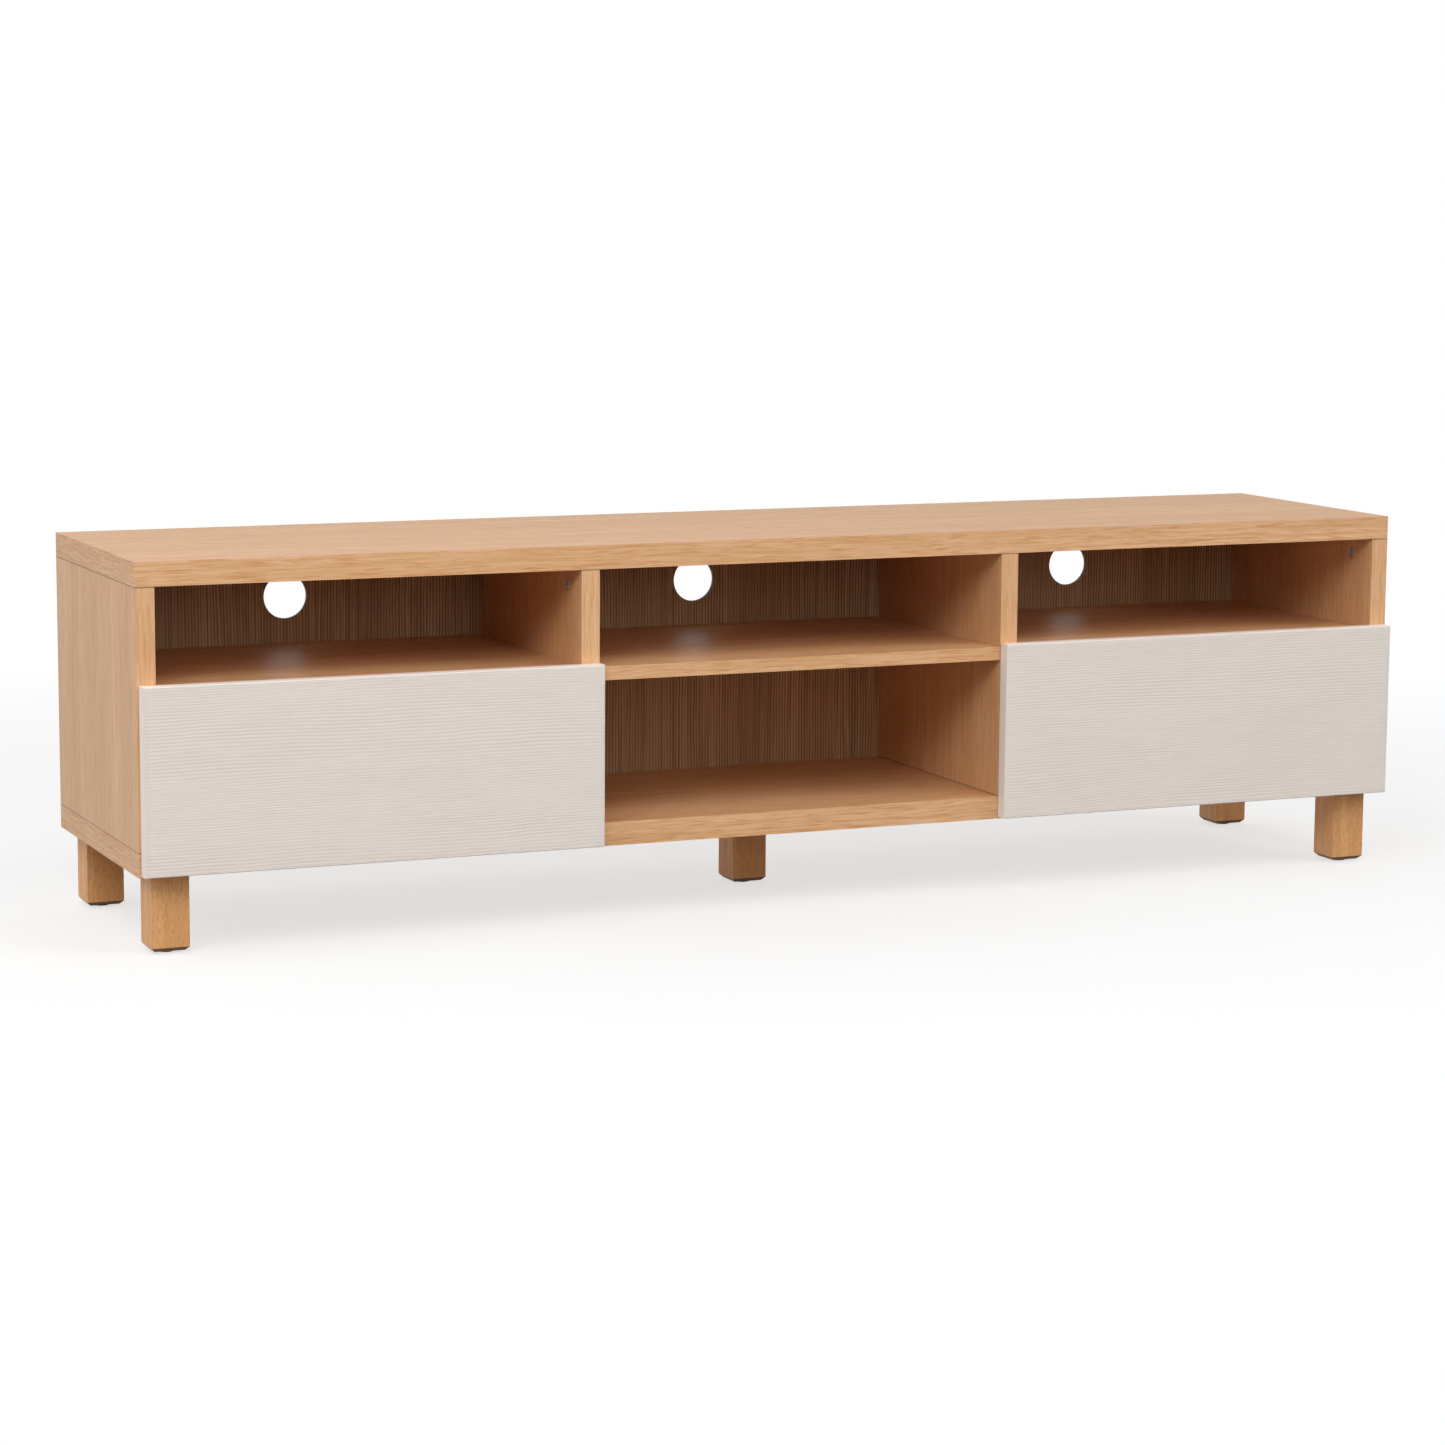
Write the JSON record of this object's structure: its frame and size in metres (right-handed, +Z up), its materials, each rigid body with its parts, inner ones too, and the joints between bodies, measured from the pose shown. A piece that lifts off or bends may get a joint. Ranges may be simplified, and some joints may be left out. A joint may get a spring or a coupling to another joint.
{
  "type": "media cabinet",
  "caption": "Low oak-veneered media cabinet on square wooden legs, with whitewashed push-to-open drawers beside open bays with round cable holes.",
  "frame": {"origin": "on the floor, under the middle of the overall length and depth, drawer fronts included", "axes": "+X along the cabinet to the right seen from the front, +Y to the back, +Z up; the drawers open towards -Y"},
  "size_m": [1.8, 0.415, 0.492],
  "materials": {
    "oak_veneer": "natural oak veneer under satin lacquer, straight grain along each board",
    "back_veneer": "oak veneer on thin board, upright straight grain",
    "leg_timber": "solid orange-brown hardwood, glued from strips, oiled",
    "pale_front": "whitewashed brushed softwood, embossed level grain",
    "box_board": "light foil-wrapped board",
    "box_base": "thin hardboard, pale foil",
    "runner_steel": "zinc-plated sheet steel",
    "cage_steel": "pressed strip with polished balls",
    "zinc_fitting": "die-cast zinc, dull nickel plate",
    "bolt_steel": "yellow passivated steel",
    "glide_plastic": "dark brown nylon",
    "latch_plastic": "grey acetal",
    "plunger_plastic": "black acetal with a soft tip"
  },
  "bodies": {
    "cabinet": {"back_panel": "back_veneer", "bottom_panel": "oak_veneer", "cam_left_divider_front": "zinc_fitting", "cam_left_divider_rear": "zinc_fitting", "cam_left_side_front": "zinc_fitting", "cam_left_side_rear": "zinc_fitting", "cam_right_divider_front": "zinc_fitting", "cam_right_divider_rear": "zinc_fitting", "cam_right_side_front": "zinc_fitting", "cam_right_side_rear": "zinc_fitting", "centre_shelf": "oak_veneer", "glide_centre": "glide_plastic", "glide_front_left": "glide_plastic", "glide_front_right": "glide_plastic", "glide_rear_left": "glide_plastic", "glide_rear_right": "glide_plastic", "hanger_bolt_centre": "bolt_steel", "hanger_bolt_front_left": "bolt_steel", "hanger_bolt_front_right": "bolt_steel", "hanger_bolt_rear_left": "bolt_steel", "hanger_bolt_rear_right": "bolt_steel", "left_divider": "oak_veneer", "left_drawer_left_runner_rail": "runner_steel", "left_drawer_right_runner_rail": "runner_steel", "left_latch_housing": "latch_plastic", "left_shelf": "oak_veneer", "left_side_panel": "oak_veneer", "leg_centre": "leg_timber", "leg_front_left": "leg_timber", "leg_front_right": "leg_timber", "leg_rear_left": "leg_timber", "leg_rear_right": "leg_timber", "right_divider": "oak_veneer", "right_drawer_left_runner_rail": "runner_steel", "right_drawer_right_runner_rail": "runner_steel", "right_latch_housing": "latch_plastic", "right_shelf": "oak_veneer", "right_side_panel": "oak_veneer", "top_panel": "oak_veneer"},
    "left_drawer": {"left_drawer_back": "box_board", "left_drawer_bottom": "box_base", "left_drawer_front": "pale_front", "left_drawer_left_runner_slide": "runner_steel", "left_drawer_left_side": "box_board", "left_drawer_right_runner_slide": "runner_steel", "left_drawer_right_side": "box_board"},
    "left_drawer_left_cage": {"left_drawer_left_ball_cage": "cage_steel"},
    "left_drawer_right_cage": {"left_drawer_right_ball_cage": "cage_steel"},
    "left_plunger": {"left_latch_plunger": "plunger_plastic"},
    "right_drawer": {"right_drawer_back": "box_board", "right_drawer_bottom": "box_base", "right_drawer_front": "pale_front", "right_drawer_left_runner_slide": "runner_steel", "right_drawer_left_side": "box_board", "right_drawer_right_runner_slide": "runner_steel", "right_drawer_right_side": "box_board"},
    "right_drawer_left_cage": {"right_drawer_left_ball_cage": "cage_steel"},
    "right_drawer_right_cage": {"right_drawer_right_ball_cage": "cage_steel"},
    "right_plunger": {"right_latch_plunger": "plunger_plastic"}
  },
  "joints": [
    {"name": "left_drawer_slide", "type": "slide", "parent": "cabinet", "child": "left_drawer", "axis": [0, -1, 0], "range_m": [0, 0.22]},
    {"name": "left_drawer_left_cage_slide", "type": "slide", "parent": "cabinet", "child": "left_drawer_left_cage", "axis": [0, -1, 0], "range_m": [0, 0.11]},
    {"name": "left_drawer_right_cage_slide", "type": "slide", "parent": "cabinet", "child": "left_drawer_right_cage", "axis": [0, -1, 0], "range_m": [0, 0.11]},
    {"name": "left_plunger_slide", "type": "slide", "parent": "cabinet", "child": "left_plunger", "axis": [0, -1, 0], "range_m": [0, 0.022]},
    {"name": "right_drawer_slide", "type": "slide", "parent": "cabinet", "child": "right_drawer", "axis": [0, -1, 0], "range_m": [0, 0.22]},
    {"name": "right_drawer_left_cage_slide", "type": "slide", "parent": "cabinet", "child": "right_drawer_left_cage", "axis": [0, -1, 0], "range_m": [0, 0.11]},
    {"name": "right_drawer_right_cage_slide", "type": "slide", "parent": "cabinet", "child": "right_drawer_right_cage", "axis": [0, -1, 0], "range_m": [0, 0.11]},
    {"name": "right_plunger_slide", "type": "slide", "parent": "cabinet", "child": "right_plunger", "axis": [0, -1, 0], "range_m": [0, 0.022]}
  ],
  "couplings": [
    {"joint": "left_drawer_left_cage_slide", "follows": "left_drawer_slide", "ratio": 0.5},
    {"joint": "left_drawer_right_cage_slide", "follows": "left_drawer_slide", "ratio": 0.5},
    {"joint": "left_plunger_slide", "follows": "left_drawer_slide", "ratio": 0.1},
    {"joint": "right_drawer_left_cage_slide", "follows": "right_drawer_slide", "ratio": 0.5},
    {"joint": "right_drawer_right_cage_slide", "follows": "right_drawer_slide", "ratio": 0.5},
    {"joint": "right_plunger_slide", "follows": "right_drawer_slide", "ratio": 0.1}
  ]
}
